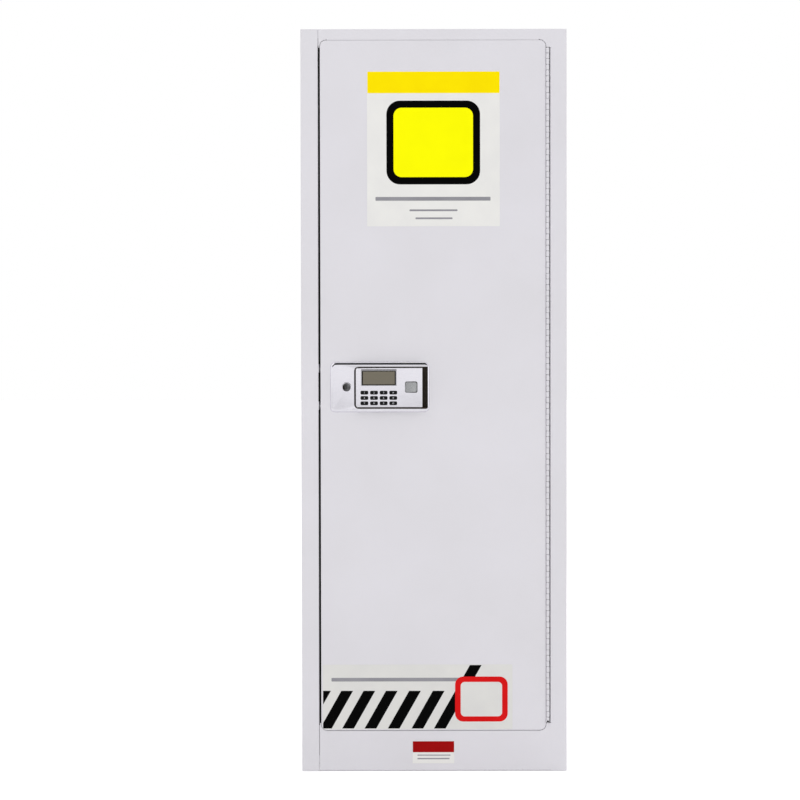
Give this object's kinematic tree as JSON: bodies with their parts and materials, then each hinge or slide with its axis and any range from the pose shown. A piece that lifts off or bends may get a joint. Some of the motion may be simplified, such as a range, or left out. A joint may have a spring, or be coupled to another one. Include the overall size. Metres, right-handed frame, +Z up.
{
  "type": "toxic substance cabinet",
  "caption": "Slim double-walled steel safety cabinet for toxic chemicals: one flush door on a full-length piano hinge, code lock with pull flap, hook-in shelves, sump and vents.",
  "frame": {"origin": "on the floor, under the middle of the cabinet's box", "axes": "+Z up, the door faces -Y, +X to the right seen from the front"},
  "size_m": [0.6146, 0.4794, 1.65],
  "materials": {
    "paint": "baked powder coat, fine texture, satin",
    "inside_paint": "baked powder coat, satin",
    "galvanised_steel": "zinc coated, fine spangle",
    "plated_steel": "bright zinc plated",
    "chrome": "polished chrome plate",
    "key_plastic": "moulded, matt",
    "display": "glossy window over an unlit display",
    "circuit_board": "solder resist",
    "cap_plastic": "moulded, matt"
  },
  "bodies": {
    "cabinet": {"left_side_panel": "paint", "right_side_panel": "paint", "back_panel": "paint", "top_panel": "paint", "base_panel": "paint", "top_rail": "paint", "bottom_rail": "paint", "liner_left": "inside_paint", "liner_right": "inside_paint", "liner_back": "inside_paint", "liner_top": "inside_paint", "sump_pan": "inside_paint", "strike_plate": "plated_steel", "hinge_leaf_frame": "paint", "hinge_pin": "plated_steel", "shelf_lower": "galvanised_steel", "shelf_upper": "galvanised_steel", "standard_left_front": "galvanised_steel", "standard_left_back": "galvanised_steel", "standard_right_front": "galvanised_steel", "standard_right_back": "galvanised_steel", "support_lower_left": "galvanised_steel", "support_lower_right": "galvanised_steel", "support_upper_left": "galvanised_steel", "support_upper_right": "galvanised_steel", "vent_collar_left": "plated_steel", "vent_collar_right": "plated_steel"},
    "door": {"door_outer_panel": "paint", "door_inner_panel": "paint", "hinge_leaf_door": "paint", "lock_bezel": "chrome", "flap_pin": "plated_steel", "lock_case": "plated_steel", "drive_motor": "plated_steel"},
    "pull_flap": {"lock_flap": "chrome", "keypad_board": "circuit_board", "display_window": "display"},
    "key_1": {"key_1": "key_plastic"},
    "key_2": {"key_2": "key_plastic"},
    "key_3": {"key_3": "key_plastic"},
    "key_cancel": {"key_cancel": "key_plastic"},
    "key_4": {"key_4": "key_plastic"},
    "key_5": {"key_5": "key_plastic"},
    "key_6": {"key_6": "key_plastic"},
    "key_0": {"key_0": "key_plastic"},
    "key_7": {"key_7": "key_plastic"},
    "key_8": {"key_8": "key_plastic"},
    "key_9": {"key_9": "key_plastic"},
    "key_enter": {"key_enter": "key_plastic"},
    "key_cylinder": {"key_cylinder": "chrome"},
    "bolt_carriage": {"bolt_carriage": "plated_steel"},
    "drive_gear": {"drive_gear": "plated_steel"},
    "rod_upper": {"rod_upper": "plated_steel"},
    "rod_lower": {"rod_lower": "plated_steel"},
    "vent_cap_left": {"vent_cap_left": "cap_plastic"},
    "vent_cap_right": {"vent_cap_right": "cap_plastic"},
    "foot_front_left": {"foot_front_left": "plated_steel"},
    "foot_front_right": {"foot_front_right": "plated_steel"},
    "foot_back_left": {"foot_back_left": "plated_steel"},
    "foot_back_right": {"foot_back_right": "plated_steel"}
  },
  "joints": [
    {"name": "door_hinge", "type": "hinge", "parent": "cabinet", "child": "door", "pos_m": [0.2528, -0.22125, 0.825], "axis": [0, 0, 1], "range_deg": [0, 180]},
    {"name": "flap_pull", "type": "hinge", "parent": "door", "child": "pull_flap", "pos_m": [-0.1702, -0.23325, 0.85625], "axis": [0, 0, -1], "range_deg": [0, 18], "stiffness_Nm_per_rad": 0.4},
    {"name": "bolt_slide", "type": "slide", "parent": "door", "child": "bolt_carriage", "axis": [-1, 0, 0], "range_m": [0, 0.018]},
    {"name": "key_turn", "type": "hinge", "parent": "door", "child": "key_cylinder", "pos_m": [-0.1938, -0.23825, 0.85725], "axis": [0, 1, 0], "range_deg": [0, 115]},
    {"name": "motor_turn", "type": "hinge", "parent": "door", "child": "drive_gear", "pos_m": [-0.15139, -0.20375, 0.85725], "axis": [0, 1, 0], "range_deg": [0, 115]},
    {"name": "rod_upper_slide", "type": "slide", "parent": "door", "child": "rod_upper", "axis": [0, 0, 1], "range_m": [0, 0.018]},
    {"name": "rod_lower_slide", "type": "slide", "parent": "door", "child": "rod_lower", "axis": [0, 0, -1], "range_m": [0, 0.018]},
    {"name": "key_1_press", "type": "slide", "parent": "pull_flap", "child": "key_1", "axis": [0, 1, 0], "range_m": [0, 0.0012], "stiffness_N_per_m": 300},
    {"name": "key_2_press", "type": "slide", "parent": "pull_flap", "child": "key_2", "axis": [0, 1, 0], "range_m": [0, 0.0012], "stiffness_N_per_m": 300},
    {"name": "key_3_press", "type": "slide", "parent": "pull_flap", "child": "key_3", "axis": [0, 1, 0], "range_m": [0, 0.0012], "stiffness_N_per_m": 300},
    {"name": "key_cancel_press", "type": "slide", "parent": "pull_flap", "child": "key_cancel", "axis": [0, 1, 0], "range_m": [0, 0.0012], "stiffness_N_per_m": 300},
    {"name": "key_4_press", "type": "slide", "parent": "pull_flap", "child": "key_4", "axis": [0, 1, 0], "range_m": [0, 0.0012], "stiffness_N_per_m": 300},
    {"name": "key_5_press", "type": "slide", "parent": "pull_flap", "child": "key_5", "axis": [0, 1, 0], "range_m": [0, 0.0012], "stiffness_N_per_m": 300},
    {"name": "key_6_press", "type": "slide", "parent": "pull_flap", "child": "key_6", "axis": [0, 1, 0], "range_m": [0, 0.0012], "stiffness_N_per_m": 300},
    {"name": "key_0_press", "type": "slide", "parent": "pull_flap", "child": "key_0", "axis": [0, 1, 0], "range_m": [0, 0.0012], "stiffness_N_per_m": 300},
    {"name": "key_7_press", "type": "slide", "parent": "pull_flap", "child": "key_7", "axis": [0, 1, 0], "range_m": [0, 0.0012], "stiffness_N_per_m": 300},
    {"name": "key_8_press", "type": "slide", "parent": "pull_flap", "child": "key_8", "axis": [0, 1, 0], "range_m": [0, 0.0012], "stiffness_N_per_m": 300},
    {"name": "key_9_press", "type": "slide", "parent": "pull_flap", "child": "key_9", "axis": [0, 1, 0], "range_m": [0, 0.0012], "stiffness_N_per_m": 300},
    {"name": "key_enter_press", "type": "slide", "parent": "pull_flap", "child": "key_enter", "axis": [0, 1, 0], "range_m": [0, 0.0012], "stiffness_N_per_m": 300},
    {"name": "vent_cap_left_turn", "type": "hinge", "parent": "cabinet", "child": "vent_cap_left", "pos_m": [-0.295, 0.16475, 0.18], "axis": [-1, 0, 0], "continuous": true},
    {"name": "vent_cap_right_turn", "type": "hinge", "parent": "cabinet", "child": "vent_cap_right", "pos_m": [0.295, 0.16475, 1.48], "axis": [1, 0, 0], "continuous": true},
    {"name": "foot_front_left_turn", "type": "hinge", "parent": "cabinet", "child": "foot_front_left", "pos_m": [-0.235, -0.16025, 0], "axis": [0, 0, 1], "continuous": true},
    {"name": "foot_front_right_turn", "type": "hinge", "parent": "cabinet", "child": "foot_front_right", "pos_m": [0.235, -0.16025, 0], "axis": [0, 0, 1], "continuous": true},
    {"name": "foot_back_left_turn", "type": "hinge", "parent": "cabinet", "child": "foot_back_left", "pos_m": [-0.235, 0.17975, 0], "axis": [0, 0, 1], "continuous": true},
    {"name": "foot_back_right_turn", "type": "hinge", "parent": "cabinet", "child": "foot_back_right", "pos_m": [0.235, 0.17975, 0], "axis": [0, 0, 1], "continuous": true}
  ],
  "couplings": [
    {"joint": "key_turn", "follows": "bolt_slide", "rad_per_m": 111.11},
    {"joint": "motor_turn", "follows": "bolt_slide", "rad_per_m": 111.11},
    {"joint": "rod_upper_slide", "follows": "bolt_slide", "ratio": 1},
    {"joint": "rod_lower_slide", "follows": "bolt_slide", "ratio": 1}
  ]
}
